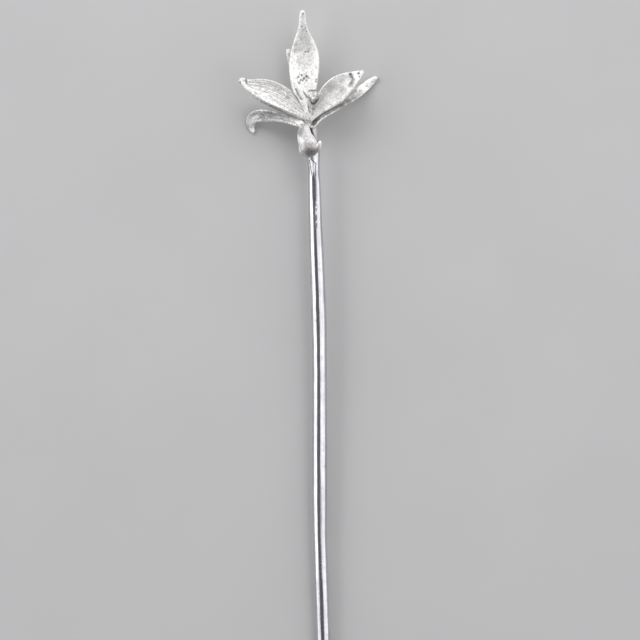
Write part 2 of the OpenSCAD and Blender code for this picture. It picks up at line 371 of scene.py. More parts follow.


# tone that both silvers share: clouds, veins, stains with painted shade and highlights, and painted shade
# in recesses
def toneOf(tree, look, frost, veins, streaks):
    cloud = span(tree, frost["Cloud"], 0.40, 0.64)
    dull = plus(tree, times(tree, cloud, look["cloudy"]), times(tree, veins, look["veined"]), clamp=True)
    # the mark on the mesh: above zero stains and painted shade, below zero painted highlights
    stainAndLight = attributeOn(tree, "paintedLightAndStain")
    stainAndShade = times(tree, stainAndLight, span(tree, frost["Grain"], 0.35, 0.6, 0.75, 1.25), clamp=True)
    paintedHighlight = times(tree, stainAndLight, -1.0, clamp=True)
    grain = times(tree, span(tree, frost["Grain"], 0.50, 0.62), look["grainy"])
    grain = times(tree, grain, minus(tree, 1.0, times(tree, paintedHighlight, 0.6)))
    # painted shade in the recesses, a dark colour laid on where a point is closed in by the pieces
    recessShade = span(tree, attributeOn(tree, "hollow"), look["recessShadeFrom"], look["recessShadeTo"],
                   0.0, look["recessShading"])
    recessShade = times(tree, recessShade, minus(tree, 1.0, paintedHighlight))
    layers = [(dull, "grey"), (times(tree, streaks, look["streaked"]), "grey"), (stainAndShade, "dark"),
              (paintedHighlight, "highlight"), (grain, "grit"), (times(tree, frost["Specks"], look["specked"]), "dark"),
              (recessShade, "recessShade")]
    colour = look["light"]
    for share, tint in layers:
        colour = mixColour(tree, share, colour, look[tint])
    shadeAndDirt = mathNode(tree, "MAXIMUM", recessShade, stainAndShade)
    return {"colour": colour, "shadeAndDirt": shadeAndDirt, "cloud": cloud, "paintedHighlight": paintedHighlight}


# roughness: unsettled by the brush lines, and changed by a share of each mark
def roughOf(tree, look, lines, marks):
    rough = plus(tree, look["roughness"], times(tree, minus(tree, lines, 0.5), look["scuffed"]))
    for mark, share in marks:
        rough = plus(tree, rough, times(tree, mark, share), clamp=True)
    return rough


# fine relief, one mark over the other: height, strength and depth in metres
def reliefOf(tree, marks):
    normal = None
    for height, strength, depth in marks:
        node = addNode(tree, "ShaderNodeBump", Strength=strength, Distance=depth)
        tree.links.new(height, node.inputs["Height"])
        if normal is not None:
            tree.links.new(normal, node.inputs["Normal"])
        normal = node.outputs["Normal"]
    return normal


def newMaterial(name):
    material = bpy.data.materials.new(name)
    material.use_nodes = True
    tree = material.node_tree
    where = tree.nodes.new("ShaderNodeTexCoord").outputs["Object"]
    return material, tree, tree.nodes["Principled BSDF"].inputs, where


def coat(tree, shader, look, colour, rough, normal):
    shader["Metallic"].default_value = look["metallic"]
    shader["Specular IOR Level"].default_value = look["gloss"]
    tree.links.new(colour, shader["Base Color"])
    tree.links.new(rough, shader["Roughness"])
    tree.links.new(normal, shader["Normal"])


# leaf silver: frosted sheet with brush strokes along it and a burnished rim, painted lighter as a highlight
def leafSilver(name, look):
    material, tree, shader, where = newMaterial(name)
    frost = groupOn(tree, "frost", where, Grain=look["grainScale"], Cloud=look["cloudScale"])
    along = addNode(tree, "ShaderNodeUVMap", uv_map="UVMap").outputs["UV"]
    slanted = addNode(tree, "ShaderNodeVectorRotate", rotation_type="Z_AXIS",
                      Angle=math.radians(look["slant"]))
    tree.links.new(along, slanted.inputs["Vector"])
    brush = groupOn(tree, "brush", slanted.outputs["Vector"],
                    Across=look["strokes"], Along=look["strokeRun"])
    rim = groupOn(tree, "rim", along, Width=look["rimWidth"])["Rim"]
    tone = toneOf(tree, look, frost, brush["Veins"], brush["Streaks"])
    # the rim: polished smoother, and painted lighter as a highlight where no stain or painted shade lies
    burnishAndHighlight = times(tree, rim, minus(tree, 1.0, tone["shadeAndDirt"]))
    colour = mixColour(tree, times(tree, burnishAndHighlight, look["rimHighlight"]), tone["colour"], look["highlight"])
    rough = roughOf(tree, look, brush["Lines"],
                    [(burnishAndHighlight, -look["rimPolish"]), (tone["shadeAndDirt"], look["shadeAndDirtRough"])])
    normal = reliefOf(tree, [(frost["Grain"], look["grainBump"], look["grainDepth"]),
                             (brush["Lines"], look["strokeBump"], look["strokeDepth"])])
    coat(tree, shader, look, colour, rough, normal)
    return material


# round silver: burnished rod with file marks along it and soft hammer flats
def roundSilver(name, look):
    material, tree, shader, where = newMaterial(name)
    frost = groupOn(tree, "frost", where, Grain=look["grainScale"], Cloud=look["cloudScale"])
    brush = groupOn(tree, "brush", where, Across=look["strokes"], Along=look["strokeRun"])
    tone = toneOf(tree, look, frost, span(tree, brush["Lines"], 0.42, 0.66), brush["Streaks"])
    rough = roughOf(tree, look, brush["Lines"],
                    [(tone["cloud"], look["cloudRough"]), (tone["paintedHighlight"], look["highlightRough"]),
                     (tone["shadeAndDirt"], look["shadeAndDirtRough"])])
    normal = reliefOf(tree, [(brush["Lines"], look["strokeBump"], look["strokeDepth"]),
                             (frost["Grain"], look["grainBump"], look["grainDepth"]),
                             (frost["Cloud"], look["flatBump"], look["flatDepth"])])
    coat(tree, shader, look, tone["colour"], rough, normal)
    return material


# besides the silver's own tones, each look holds a colour for painted highlights and one for painted shade
# in recesses, and its dark colour serves stains and painted shade
frostedLook = {
    "metallic": 0.58, "light": (0.99, 0.985, 0.975), "grey": (0.58, 0.565, 0.555),
    "dark": (0.12, 0.115, 0.11), "highlight": (0.985, 0.985, 0.98), "grit": (0.52, 0.51, 0.50),
    "gloss": 0.3, "roughness": 0.48, "scuffed": 0.3, "shadeAndDirtRough": 0.2,
    "rimPolish": 0.12, "rimHighlight": 0.5, "rimWidth": 0.05,
    "grainScale": 2300.0, "cloudScale": 520.0, "cloudy": 0.28, "veined": 0.20, "grainy": 0.75,
    "specked": 0.32, "strokes": 20.0, "strokeRun": 1.6, "slant": 0, "streaked": 0.22,
    "grainBump": 1.0, "grainDepth": 0.00008, "strokeBump": 0.55, "strokeDepth": 0.00006,
    "recessShade": (0.09, 0.085, 0.08), "recessShadeFrom": 0.24, "recessShadeTo": 0.66, "recessShading": 0.9}

brushedLook = dict(
    frostedLook, light=(0.93, 0.925, 0.915), grey=(0.47, 0.46, 0.45), grit=(0.44, 0.43, 0.42),
    strokes=16.0, streaked=0.75, grainy=0.95, specked=0.25, cloudy=0.20, strokeBump=1.1, rimHighlight=0.25)

facetLook = dict(
    brushedLook, light=(0.985, 0.98, 0.97), grey=(0.50, 0.475, 0.465), grit=(0.52, 0.50, 0.49),
    strokes=9.0, streaked=0.30, veined=0.10, grainy=0.60, cloudy=0.32, cloudScale=700.0, rimHighlight=0.0,
    recessShadeFrom=0.34, recessShading=0.7)

mottledLook = dict(
    frostedLook, light=(0.80, 0.795, 0.785), grey=(0.34, 0.33, 0.325), grit=(0.34, 0.33, 0.325),
    cloudy=0.50, cloudScale=1300.0, grainy=0.9, specked=0.45, streaked=0.35, rimHighlight=0.2)

satinLook = dict(
    frostedLook, light=(0.90, 0.89, 0.885), grey=(0.31, 0.30, 0.295), grit=(0.30, 0.29, 0.285),
    metallic=0.66, roughness=0.44, grainy=0.90, cloudy=0.40, cloudScale=1000.0, specked=0.5,
    strokes=8.0, veined=0.28, streaked=0.80, strokeBump=1.3)

paleLook = dict(
    satinLook, light=(0.99, 0.985, 0.98), grit=(0.60, 0.59, 0.58), metallic=0.15, cloudy=0.04,
    veined=0.04, grainy=0.25, streaked=0.20)

lipLook = dict(
    satinLook, light=(0.96, 0.95, 0.945), grey=(0.38, 0.365, 0.36), metallic=0.60, roughness=0.56,
    slant=-38, strokes=10.0, strokeRun=1.4, strokeBump=1.5, veined=0.45, cloudy=0.36, cloudScale=800.0,
    streaked=0.6, grainy=0.6, specked=0.2)

# as above: a colour for painted highlights, one for painted shade in recesses, and a dark one for stains
# and painted shade
polishedLook = {
    "metallic": 0.95, "light": (0.71, 0.71, 0.735), "grey": (0.47, 0.47, 0.505),
    "dark": (0.05, 0.05, 0.07), "highlight": (0.95, 0.95, 0.96), "grit": (0.42, 0.42, 0.455),
    "gloss": 0.3, "roughness": 0.13, "scuffed": 0.10,
    "cloudRough": 0.05, "highlightRough": 0.4, "shadeAndDirtRough": 0.3,
    "grainScale": 4000.0, "cloudScale": 260.0, "cloudy": 0.35, "veined": 0.5, "grainy": 0.1,
    "specked": 0.15, "strokes": 2600.0, "strokeRun": 60.0, "streaked": 0.30,
    "grainBump": 0.1, "grainDepth": 0.00003, "strokeBump": 0.15, "strokeDepth": 0.00003,
    "flatBump": 0.10, "flatDepth": 0.0002,
    "recessShade": (0.10, 0.10, 0.11), "recessShadeFrom": 0.24, "recessShadeTo": 0.70, "recessShading": 0.9}

stalkLook = dict(
    polishedLook, light=(0.80, 0.79, 0.78), grey=(0.44, 0.43, 0.42), recessShade=(0.07, 0.065, 0.06),
    metallic=0.70, roughness=0.55, scuffed=0.2, cloudy=0.50, grainy=0.5, grainScale=3000.0,
    grainBump=0.9, flatBump=0.35, specked=0.3)

frosted = leafSilver("frostedSilver", frostedLook)
brushed = leafSilver("brushedSilver", brushedLook)
mottled = leafSilver("mottledSilver", mottledLook)
satin = leafSilver("satinSilver", satinLook)
scratched = leafSilver("scratchedSilver", lipLook)
faceted = leafSilver("facetedSilver", facetLook)
pale = leafSilver("paleSilver", paleLook)
polished = roundSilver("polishedSilver", polishedLook)
soldered = roundSilver("stalkSilver", stalkLook)
print("silver mixed")


# Leaves of sheet silver

# what a leaf has unless its own table says otherwise; grooveWidth is a share of the leaf's width
usual = {
    "columns": 10, "fold": 2, "thinning": 0.42, "rim": 0.62, "flatSize": 2.2, "flatDepth": 0.10,
    "grainSize": 0.4, "grainDepth": 0.035, "grooveWidth": 0.013,
    "drawn": [], "scored": [], "dents": [], "pits": [], "stainsAndPaintedLight": [], "strokes": []}


# Each row, from root to tip: x, y, z of the vein, widths to its left and right, rise per mm
# towards the left, rise of the edges, thickness. All in mm.
def formLeaf(name, leaf):
    columns = leaf["columns"]
    wide = columns + 1
    stations = stationsOf(leaf["rows"], 2)
    last = len(stations) - 1
    bpy.ops.mesh.primitive_grid_add(x_subdivisions=columns, y_subdivisions=last, size=2)
    obj = bpy.context.object
    obj.name = name
    edit(obj)
    for column in range(wide):  # one cupped section, the same in every row
        u = 2 * column / columns - 1
        pick(obj, lambda vert: vert.index % wide == column)
        move(0, 0, abs(u) ** leaf["fold"])
    for k, (x, y, z, left, right, tilt, cup, thick) in enumerate(stations):
        before, after = stations[max(k - 1, 0)], stations[min(k + 1, last)]
        heading = math.atan2(after[1] - before[1], after[0] - before[0])
        pitch = 0
        if "curl" in leaf:  # the strip keeps this bearing and turns over on itself
            heading = math.radians(leaf["curl"])
            run = (after[0] - before[0]) * math.cos(heading) + (after[1] - before[1]) * math.sin(heading)
            pitch = math.atan2(after[2] - before[2], run)
        home = 2 * k / last - 1
        centre = (0, home, 0)
        lean = math.atan(tilt)
        for hand, width in ((-1, left), (1, right)):
            pick(obj, lambda vert: vert.index // wide == k and hand * (vert.index % wide - columns / 2) > 0)
            stretch(width / math.cos(lean), 1, 1, centre)
        pick(obj, lambda vert: vert.index // wide == k)
        stretch(1, 1, cup, centre)
        turn(lean, "Y", centre)
        turn(pitch, "X", centre)
        turn(heading - math.pi / 2, "Z", centre)
        move(x, y - home, z)
    done()
    gauge = max(station[7] for station in stations)
    group = obj.vertex_groups.new(name="gauge")
    for k, station in enumerate(stations):
        for column in range(wide):
            u = 2 * column / columns - 1
            rim = leaf["rim"] if column in (0, columns) else 1 - leaf["thinning"] * u ** 2
            group.add([k * wide + column], station[7] / gauge * rim, "REPLACE")
    smoothOut(obj, 2)
    return obj, gauge


# the points of a leaf near the share u of its width, from one share of its length to another
def onLeaf(obj, u, start, end, reach):
    layer = obj.data.uv_layers.active
    hits = set()
    for loop in obj.data.loops:
        spot = layer.data[loop.index].uv
        if abs(spot[0] - u) < reach and start < spot[1] < end:
            hits.add(loop.vertex_index)
    return hits


# the lower margin of a petal, turned under
def turnUnder(obj, flange):
    margin = onLeaf(obj, 0, flange["from"], flange["to"], 0.001)
    edit(obj)
    bpy.ops.mesh.select_mode(type="EDGE")
    mesh = bmesh.from_edit_mesh(obj.data)
    for edge in mesh.edges:
        edge.select = all(vert.index in margin for vert in edge.verts)
    bmesh.update_edit_mesh(obj.data)
    for share in (0.35, 0.65):
        step = [share * part for part in flange["push"]]
        bpy.ops.mesh.extrude_region_move(TRANSFORM_OT_translate={"value": step})
    bpy.ops.mesh.select_mode(type="VERT")
    done()


# pits are painted dark, as the shade inside them
pitShade = {"wide": 1.25, "dark": 1.3}


def makeLeaf(name, node, slot, material, table, seed):
    leaf = dict(usual, **table)
    obj, gauge = formLeaf(name, leaf)
    if "flange" in leaf:
        turnUnder(obj, leaf["flange"])
    for x, y, push, reach in leaf["drawn"]:  # a corner drawn out with round pliers
        pull(obj, nearest(obj.data.vertices, x, y), push, reach)
    for u, start, end, depth in leaf["scored"]:  # a line scored along the leaf
        hits = onLeaf(obj, u, start, end, leaf["grooveWidth"])
        edit(obj)
        pick(obj, lambda vert: vert.index in hits)
        move(0, 0, -depth)
        done()
    punch(obj, leaf["dents"] + leaf["pits"])
    planish(obj, leaf["flatSize"], leaf["flatDepth"], seed)
    finish(obj, "SOLIDIFY", thickness=gauge, offset=0, vertex_group="gauge", use_even_offset=True,
           use_quality_normals=True)
    smoothOut(obj, 1)
    planish(obj, leaf["grainSize"], leaf["grainDepth"], seed + 20)
    # the pits' painted shade, a little wider than each pit
    marks = [(x, y, size * pitShade["wide"], pitShade["dark"]) for x, y, size, depth in leaf["pits"]]
    paintedLightAndStain(obj, leaf["stainsAndPaintedLight"] + marks, leaf["strokes"])
    seat(obj, node, material)


# scored lines are the share of the width, where they start and end along the leaf, and depth; pits
# and dents are x, y, radius, depth, and pits are painted dark as shade; stains and strokes hold stains,
# painted shade and painted highlights, told at the function that paints the tone on the mesh
dorsalSepal = {
    "rows": [
        [-0.10,  0.3, 6.05, 0.70, 0.70,  0.00, 0.05, 0.70],
        [-0.45,  3.0, 5.70, 1.20, 1.20,  0.00, 0.15, 0.75],
        [-1.10,  6.3, 5.20, 2.50, 2.55, -0.02, 0.60, 0.80],
        [-1.25,  9.5, 4.95, 3.10, 3.05, -0.04, 0.75, 0.80],
        [-1.20, 12.1, 4.95, 3.25, 3.25, -0.05, 0.82, 0.80],
        [-1.15, 14.8, 5.25, 2.90, 2.90, -0.05, 0.80, 0.75],
        [-1.35, 17.0, 5.70, 2.12, 2.12, -0.05, 0.50, 0.75],
        [-1.50, 19.0, 6.15, 1.25, 1.20,  0.00, 0.25, 0.75],
        [-1.60, 20.8, 6.50, 0.75, 0.75,  0.00, 0.08, 0.80],
        [-1.62, 22.5, 6.65, 0.65, 0.65,  0.00, 0.00, 0.95],
        [-1.55, flower["top"], 6.62, 0.33, 0.33, 0.00, 0.00, 0.50]],
    "columns": 12,
    "scored": [(0.1, 0.25, 0.68, 0.06), (0.5, 0.15, 0.45, 0.03)],
    "pits": [
        (-1.82, 9.6, 0.28, 0.1), (-2.56, 9.22, 0.3, 0.1), (-0.73, 9.35, 0.38, 0.18),
        (-0.37, 9.09, 0.3, 0.14), (-1.29, 8.94, 0.36, 0.16), (-2.0, 8.54, 0.28, 0.1),
        (-1.57, 8.51, 0.26, 0.09), (-2.42, 7.89, 0.38, 0.18), (-0.77, 8.47, 0.26, 0.1),
        (1.38, 8.75, 0.27, 0.11), (1.29, 8.23, 0.28, 0.12), (-0.45, 14.75, 0.28, 0.1),
        (-0.99, 14.68, 0.25, 0.08), (-1.78, 20.04, 0.25, 0.08), (-0.99, 19.76, 0.22, 0.07),
        (-0.82, 19.0, 0.22, 0.06), (-1.48, 22.75, 0.32, 0.18)],
    "dents": [
        (0.19, 14.77, 0.3, 0.06), (-1.53, 13.1, 0.3, 0.06), (-3.1, 13.4, 0.35, 0.07),
        (-1.63, 12.2, 0.3, 0.05), (0.97, 12.2, 0.3, 0.05), (1.42, 13.95, 0.3, 0.05)],
    "stainsAndPaintedLight": [
        (-1.6, 22.6, 0.95, 0.5), (-3.0, 16.2, 1.4, 0.42), (-3.3, 14.9, 1.3, 0.4), (-2.4, 15.2, 1.1, 0.3),
        (-4.45, 13.9, 1.0, 0.4), (-1.5, 17.6, 1.8, 0.3), (-0.3, 16.0, 1.8, 0.25), (-1.3, 19.4, 0.9, 0.35),
        (-4.6, 9.2, 0.5, 0.3)],
    # the strokes are painted shadows: beside the column, and above and left of the anther cap
    "strokes": [
        (((-0.1, 6.2), (0.3, 6.32), (1.25, 6.32)), 0.34, 0.95),
        (((-1.66, 6.28), (-1.1, 5.55), (-0.48, 4.78)), 0.32, 1.0),
        (((-0.2, 5.3), (-0.22, 4.84), (0.04, 3.9)), 0.22, 0.9)],
    "flatSize": 2.4, "flatDepth": 0.16}

sepalLobe = {
    "rows": [
        [-3.40,  9.2, 4.62, 0.30, 0.30,  0.00, 0.00, 0.45],
        [-4.05, 12.0, 4.55, 0.50, 0.50, -0.10, 0.00, 0.55],
        [-4.50, 14.0, 4.75, 0.55, 0.55, -0.15, 0.00, 0.55],
        [-4.72, 15.3, 4.95, 0.40, 0.40, -0.15, 0.00, 0.45]],
    "columns": 6, "flatDepth": 0.06,
    "stainsAndPaintedLight": [(-4.5, 14.0, 0.8, 0.5), (-4.4, 12.8, 0.8, 0.5)]}

leftPetal = {
    "rows": [
        [  0.05, 0.25, 6.72, 0.62, 0.72, 0.00, 0.00, 0.60],
        [ -0.85, 1.05, 6.85, 0.95, 1.00, 0.05, 0.10, 0.70],
        [ -1.95, 1.90, 6.95, 1.30, 1.35, 0.10, 0.25, 0.75],
        [ -4.10, 3.60, 7.25, 2.02, 1.98, 0.11, 0.36, 0.80],
        [ -6.60, 5.20, 7.65, 2.46, 2.28, 0.14, 0.48, 0.80],
        [ -9.30, 6.35, 8.00, 2.42, 2.25, 0.14, 0.48, 0.80],
        [-11.20, 6.90, 8.20, 1.98, 1.90, 0.11, 0.38, 0.75],
        [-12.70, 7.30, 8.25, 1.38, 1.38, 0.10, 0.35, 0.75],
        [-13.75, 7.85, 8.20, 1.00, 0.95, 0.00, 0.15, 0.80],
        [-14.45, 8.44, 8.05, 0.62, 0.62, 0.00, 0.00, 0.90],
        [-14.88, 8.86, 7.95, 0.35, 0.35, 0.00, 0.00, 0.60]],
    "scored": [
        (0.5, 0.34, 0.8, 0.06), (0.65, 0.3, 0.75, 0.05), (0.78, 0.3, 0.65, 0.05), (0.36, 0.3, 0.6, 0.03)],
    # the strokes along the lower margin paint shade on the turned-under margin and in the gap below it
    "strokes": [
        (((-13.66, 8.66), (-13.66, 7.72)), 0.16, 0.5), (((-1.6, 1.4), (-4.4, 3.0)), 0.16, 0.35),
        (((-2.0, 2.2), (-5.0, 4.3), (-7.6, 5.5)), 0.2, 0.45),
        (((-12.4, 6.3), (-9.5, 4.9), (-6.3, 3.5), (-3.4, 1.7)), 1.6, 0.22),
        (((-10.4, 3.85), (-8.4, 2.9)), 0.4, 0.6), (((-5.2, 1.1), (-2.2, -0.35)), 0.42, 1.4),
        (((-8.6, 2.85), (-5.6, 1.35), (-2.2, -0.25)), 0.62, 1.0)],
    "pits": [
        (-13.67, 8.64, 0.26, 0.1), (-13.7, 8.25, 0.28, 0.12), (-13.62, 7.85, 0.26, 0.1),
        (-0.67, 1.38, 0.28, 0.2)],
    "dents": [(-4.7, 4.7, 0.9, 0.12), (-8.3, 5.6, 0.8, 0.08), (-14.05, 8.2, 0.5, 0.08)],
    "stainsAndPaintedLight": [
        (-4.86, 4.64, 1.0, 0.55), (-11.0, 7.4, 1.8, 0.26), (-8.8, 7.4, 1.6, 0.32), (-6.5, 6.0, 1.3, 0.32),
        (-7.6, 6.6, 1.3, 0.3), (-3.2, 3.6, 0.9, 0.32), (-2.2, 2.3, 0.7, 0.2)],
    "rim": 0.44,
    "flange": {"from": 0.06, "to": 0.66, "push": (-0.18, -0.52, -0.80)},
    "flatSize": 2.0, "flatDepth": 0.16}

rightPetal = {
    "rows": [
        [-0.05,  0.15, 6.72, 0.65, 0.62, 0.00, 0.00, 0.60],
        [ 0.80,  1.15, 6.85, 0.92, 0.95, 0.02, 0.12, 0.70],
        [ 1.60,  2.20, 7.00, 1.15, 1.30, 0.05, 0.25, 0.75],
        [ 3.20,  4.10, 7.50, 2.20, 2.20, 0.10, 0.52, 0.80],
        [ 5.20,  6.00, 8.10, 2.65, 2.75, 0.10, 0.72, 0.80],
        [ 6.85,  7.40, 8.50, 2.48, 2.60, 0.08, 0.66, 0.80],
        [ 8.40,  8.42, 8.65, 1.86, 1.95, 0.05, 0.60, 0.75],
        [ 9.65,  9.18, 8.55, 1.28, 1.28, 0.00, 0.35, 0.75],
        [10.55,  9.80, 8.25, 0.85, 0.80, 0.00, 0.15, 0.80],
        [11.25, 10.12, 7.85, 0.55, 0.50, 0.00, 0.00, 0.85],
        [11.60, 10.14, 7.60, 0.30, 0.30, 0.00, 0.00, 0.55]],
    "scored": [(0.5, 0.32, 0.6, 0.03)],
    # the first two strokes paint shade along the fold and the last one the shadow under the anther cap;
    # stains below zero are painted highlights, and the last three stains paint the shadow under the anther
    # cap
    "strokes": [
        (((8.75, 9.45), (9.14, 8.87), (8.95, 8.35), (8.76, 7.93), (8.45, 7.2)), 0.34, 0.9),
        (((8.9, 9.3), (9.25, 8.6), (8.85, 7.3)), 0.85, 0.72),
        (((1.75, 5.9), (3.1, 7.95), (5.0, 9.6), (7.2, 10.35)), 0.34, 0.42),
        (((2.7, 2.92), (5.2, 4.25)), 0.2, 0.6), (((1.3, 1.7), (3.4, 3.6)), 0.16, 0.3),
        (((1.1, 3.62), (1.62, 4.25), (1.85, 4.8)), 0.3, 1.0)],
    "pits": [(8.66, 9.68, 0.45, 0.2), (10.4, 9.91, 0.34, 0.16), (10.6, 9.18, 0.22, 0.08)],
    "dents": [
        (9.05, 8.9, 0.6, 0.22), (9.3, 8.3, 0.6, 0.22), (9.15, 7.5, 0.6, 0.18), (6.5, 8.2, 0.9, 0.1),
        (5.2, 7.9, 0.6, 0.08)],
    "stainsAndPaintedLight": [
        (7.6, 5.4, 0.9, 0.25), (7.8, 8.5, 0.7, -0.8), (7.7, 7.2, 0.6, -0.7), (9.75, 9.2, 0.7, -0.8),
        (4.5, 4.3, 1.5, -1.0), (3.4, 3.4, 1.1, -0.8), (5.2, 8.9, 1.1, -0.9), (6.1, 9.0, 1.0, -0.8),
        (4.3, 6.9, 1.5, 0.38), (6.9, 6.3, 1.4, 0.28), (3.0, 5.4, 0.9, 0.18), (1.18, 3.7, 0.38, 1.0),
        (1.65, 4.25, 0.38, 0.95), (1.5, 3.9, 0.34, 0.95)],
    "rim": 0.42, "flatSize": 2.6, "flatDepth": 0.17}

leftSepal = {
    "rows": [
        [ -1.28, -0.98, 6.55, 0.24, 0.24,  0.00,  0.00, 0.50],
        [ -1.42, -0.97, 6.72, 0.56, 0.56,  0.00, -0.05, 0.60],
        [ -1.80, -0.92, 6.85, 0.76, 0.76,  0.00, -0.10, 0.65],
        [ -2.70, -0.65, 6.45, 0.78, 0.78, -0.10,  0.02, 0.65],
        [ -3.80, -0.15, 5.60, 0.85, 0.85, -0.30,  0.10, 0.70],
        [ -5.70,  0.50, 4.65, 0.95, 0.95, -0.40,  0.15, 0.75],
        [ -7.45,  0.90, 3.85, 1.08, 1.08, -0.45,  0.20, 0.75],
        [ -9.45,  1.15, 2.85, 1.28, 1.25, -0.45,  0.25, 0.75],
        [-11.00,  1.05, 2.05, 1.28, 1.33, -0.30,  0.25, 0.75],
        [-12.10,  0.55, 1.40, 1.05, 1.40, -0.10,  0.20, 0.75],
        [-12.70, -0.40, 0.95, 0.95, 1.15,  0.05,  0.15, 0.75],
        [-12.65, -1.60, 0.42, 0.65, 0.70,  0.00,  0.08, 0.75],
        [-12.10, -2.60, 0.42, 0.32, 0.32,  0.00,  0.00, 0.60]],
    "scored": [(0.5, 0.35, 0.8, 0.03)],
    # the stroke paints shade along the upper margin, under the left petal; the stains darken the middle of
    # the leaf, and those below zero are painted highlights on the hook, the top edge and the root
    "strokes": [(((-2.9, 0.35), (-5.0, 1.1), (-7.0, 1.6)), 0.22, 0.75)],
    "stainsAndPaintedLight": [
        (-10.2, 0.8, 1.5, 0.58), (-8.6, 1.1, 1.5, 0.6), (-7.3, 1.0, 1.2, 0.5), (-6.0, 0.7, 1.1, 0.42),
        (-4.8, 0.4, 0.9, 0.32), (-3.6, 0.0, 0.8, 0.22), (-12.6, -0.3, 1.9, -1.4), (-12.4, -1.8, 1.5, -1.4),
        (-10.6, 2.2, 0.6, -0.6), (-2.0, -0.9, 1.0, -0.5)],
    "rim": 0.50, "flatSize": 1.6, "flatDepth": 0.12}

rightSepal = {
    "rows": [
        [ 0.52, -1.72, 6.00, 0.30, 0.36,  0.00, 0.10, 0.50],
        [ 0.54, -1.35, 5.72, 0.70, 0.76,  0.00, 0.70, 0.50],
        [ 0.66, -0.75, 5.35, 0.86, 0.98,  0.00, 1.15, 0.52],
        [ 1.08, -0.05, 5.45, 0.88, 0.96, -0.03, 0.95, 0.60],
        [ 1.78,  0.55, 5.55, 0.92, 0.90, -0.06, 0.65, 0.70],
        [ 2.45,  1.00, 5.55, 1.05, 0.90, -0.10, 0.40, 0.75],
        [ 4.00,  2.10, 4.90, 1.25, 1.00, -0.15, 0.45, 0.75],
        [ 6.75,  3.85, 3.60, 1.40, 1.15, -0.15, 0.55, 0.75],
        [ 8.70,  4.95, 2.55, 1.25, 1.15, -0.15, 0.50, 0.75],
        [10.70,  6.20, 1.45, 1.05, 1.00, -0.10, 0.35, 0.75],
        [12.15,  7.50, 0.75, 0.95, 0.92, -0.05, 0.20, 0.75],
        [13.35,  8.55, 0.42, 0.76, 0.76,  0.00, 0.10, 0.75],
        [14.15,  9.15, 0.44, 0.54, 0.54,  0.00, 0.00, 0.80],
        [14.63,  9.47, 0.52, 0.30, 0.30,  0.00, 0.00, 0.60]],
    "scored": [(0.5, 0.3, 0.46, 0.04)],
    # the strokes paint shade in the channel at the root and the shadow of the right petal along the upper
    # part; the stains below zero are painted highlights towards the tip
    "strokes": [
        (((0.6, -1.0), (0.66, -0.3), (1.4, 0.45), (2.3, 1.22), (4.3, 2.32), (6.4, 3.3)), 0.46, 0.9),
        (((4.6, 2.9), (6.6, 4.1), (8.2, 5.3), (9.7, 6.5)), 0.85, 0.65)],
    "pits": [(7.56, 4.34, 0.28, 0.1)],
    "stainsAndPaintedLight": [
        (5.6, 2.9, 1.4, 0.6), (6.8, 3.4, 1.7, 0.76), (8.2, 4.1, 1.7, 0.72), (9.5, 4.9, 1.5, 0.56),
        (8.9, 5.6, 1.2, 0.45), (10.4, 5.9, 1.0, 0.34), (11.3, 7.3, 1.0, -0.7), (12.5, 8.3, 0.9, -0.5),
        (13.8, 9.0, 0.9, -0.9)],
    "rim": 0.44, "flatSize": 1.8, "flatDepth": 0.12}

column = {
    "rows": [
        [-0.52, 0.65, 6.75, 0.22, 0.30, 0.00, 0.05, 0.42],
        [-0.66, 1.20, 7.10, 0.28, 0.42, 0.00, 0.20, 0.45],
        [-0.98, 2.00, 7.30, 0.28, 0.56, 0.15, 0.30, 0.45],
        [-1.45, 3.20, 7.50, 0.30, 0.78, 0.20, 0.50, 0.45],
        [-2.20, 4.70, 7.65, 0.42, 1.02, 0.20, 0.65, 0.45],
        [-2.95, 6.15, 7.80, 0.60, 1.08, 0.20, 0.70, 0.45],
        [-3.42, 7.45, 7.80, 0.54, 0.84, 0.10, 0.50, 0.45],
        [-3.60, 8.30, 7.75, 0.42, 0.62, 0.00, 0.30, 0.45],
        [-3.64, 8.72, 7.78, 0.20, 0.28, 0.00, 0.05, 0.40]],
    "columns": 12, "fold": 1.15, "flatSize": 1.2, "flatDepth": 0.06,
    # the strokes paint shade in the valley of the fold and along its left side; the stains below zero are
    # painted highlights on the bright strip
    "strokes": [
        (((-3.02, 6.5), (-2.62, 5.5), (-1.9, 4.4)), 0.5, 0.75), (((-2.6, 5.6), (-2.05, 4.6)), 0.22, 0.4),
        (((-3.98, 8.5), (-3.86, 7.4), (-3.5, 6.25)), 0.2, 0.6), (((-3.5, 7.9), (-3.12, 6.4)), 0.34, 0.4),
        (((-1.75, 3.7), (-1.0, 2.1)), 0.22, 0.5)],
    "stainsAndPaintedLight": [
        (-0.67, 1.38, 0.26, 0.85), (-1.85, 5.6, 0.45, -0.8), (-1.15, 4.0, 0.5, -0.8),
        (-0.8, 2.6, 0.4, -0.8)]}

